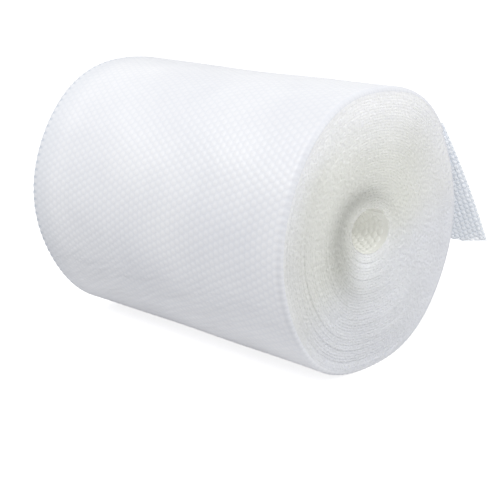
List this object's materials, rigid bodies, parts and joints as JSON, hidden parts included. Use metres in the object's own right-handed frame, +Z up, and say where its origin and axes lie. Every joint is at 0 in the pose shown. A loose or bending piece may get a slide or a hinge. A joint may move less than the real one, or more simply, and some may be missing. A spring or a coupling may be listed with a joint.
{
  "type": "air-bubble film roll",
  "caption": "Soft roll of clear air-bubble packing film lying on its side, coreless, with an off-round hole and a free tail of film hanging off its back.",
  "frame": {"origin": "on the floor under the roll's axis, at mid-length, in the flat spot that the roll rests on", "axes": "+X along the roll towards the end that the picture shows, +Y to the back where the tail hangs, +Z up"},
  "size_m": [0.5, 0.5562, 0.4122],
  "materials": {
    "bubble_film": "clear thin polyethylene film, milky in many layers, with a soft gloss"
  },
  "bodies": {
    "root": {"film_roll": "bubble_film"}
  },
  "joints": []
}
